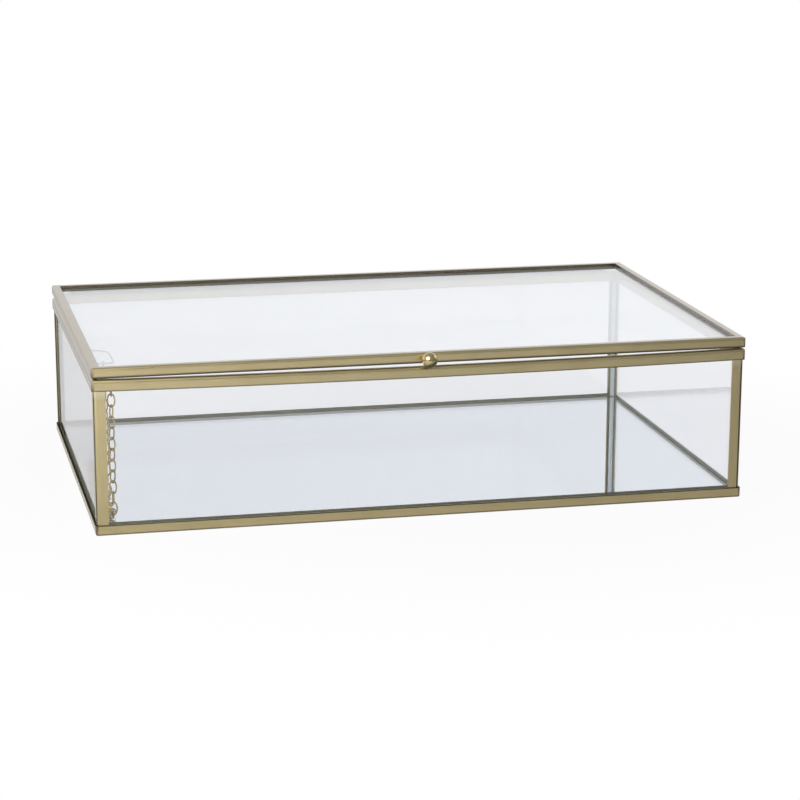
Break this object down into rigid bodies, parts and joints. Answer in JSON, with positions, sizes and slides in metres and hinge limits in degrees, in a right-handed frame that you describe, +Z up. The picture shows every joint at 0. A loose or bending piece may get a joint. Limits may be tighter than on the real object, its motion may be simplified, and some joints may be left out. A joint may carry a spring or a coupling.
{
  "type": "hinged glass box",
  "caption": "Low rectangular keepsake box of clear glass panes in a brass frame, with a mirror floor, a hinged glass lid with a ball knob, and a stay chain.",
  "frame": {"origin": "on the table under the middle of the closed box, knob and hinge included", "axes": "+X along the front, to the right; +Y to the back, where the hinge is; +Z up"},
  "size_m": [0.3, 0.2024, 0.0771],
  "materials": {
    "frame_brass": "antique brass strip, finely brushed, lacquered satin",
    "hinge_brass": "darkened brass, satin",
    "knob_brass": "polished antique brass",
    "chain_wire": "bright brass wire",
    "pane_glass": "clear polished float glass",
    "lid_glass": "clear polished float glass",
    "mirror": "silvered float glass",
    "backing": "matt grey backing sheet"
  },
  "bodies": {
    "case": {"bottom_rail_front": "frame_brass", "top_rail_front": "frame_brass", "bottom_rail_right": "frame_brass", "top_rail_right": "frame_brass", "bottom_rail_back": "frame_brass", "top_rail_back": "frame_brass", "bottom_rail_left": "frame_brass", "top_rail_left": "frame_brass", "post_front_left": "frame_brass", "post_front_right": "frame_brass", "post_back_right": "frame_brass", "post_back_left": "frame_brass", "mirror_floor": "mirror", "backing_sheet": "backing", "pane_front": "pane_glass", "pane_back": "pane_glass", "pane_left": "pane_glass", "pane_right": "pane_glass", "hinge_leaf_case_middle": "hinge_brass", "hinge_leaf_case_right": "hinge_brass", "hinge_pin": "hinge_brass", "case_chain_staple": "chain_wire"},
    "lid": {"lid_rail_front": "frame_brass", "lid_rail_right": "frame_brass", "lid_rail_back": "frame_brass", "lid_rail_left": "frame_brass", "lid_glass": "lid_glass", "hinge_leaf_lid_left": "hinge_brass", "hinge_leaf_lid_right": "hinge_brass", "knob_stud": "knob_brass", "knob_ball": "knob_brass", "lid_chain_staple": "chain_wire"},
    "chain_case_drop": {"chain_case_drop": "chain_wire"},
    "chain_case_run": {"chain_case_run": "chain_wire"},
    "chain_lid_drop": {"chain_lid_drop": "chain_wire"},
    "chain_lid_run": {"chain_lid_run": "chain_wire"}
  },
  "joints": [
    {"name": "lid_hinge", "type": "hinge", "parent": "case", "child": "lid", "pos_m": [0, 0.1, 0.07045], "axis": [-1, 0, 0], "range_deg": [0, 94.98]},
    {"name": "chain_case_swing", "type": "hinge", "parent": "case", "child": "chain_case_drop", "pos_m": [-0.1404, -0.08225, 0.0659], "axis": [1, 0, 0], "range_deg": [0, 131.09]},
    {"name": "chain_case_fold", "type": "hinge", "parent": "chain_case_drop", "child": "chain_case_run", "pos_m": [-0.1404, -0.08225, 0.00665], "axis": [-1, 0, 0], "range_deg": [0, 90.01]},
    {"name": "chain_lid_swing", "type": "hinge", "parent": "lid", "child": "chain_lid_drop", "pos_m": [-0.142, -0.06744, 0.07025], "axis": [1, 0, 0], "range_deg": [0, 46.07]},
    {"name": "chain_lid_fold", "type": "hinge", "parent": "chain_lid_drop", "child": "chain_lid_run", "pos_m": [-0.142, -0.06744, 0.011], "axis": [-1, 0, 0], "range_deg": [0, 90.01]}
  ],
  "couplings": [
    {"joint": "chain_case_swing", "follows": "lid_hinge", "ratio": 1.3802},
    {"joint": "chain_case_fold", "follows": "lid_hinge", "ratio": 0.94761},
    {"joint": "chain_lid_swing", "follows": "lid_hinge", "ratio": 0.48494},
    {"joint": "chain_lid_fold", "follows": "lid_hinge", "ratio": 0.94761}
  ]
}
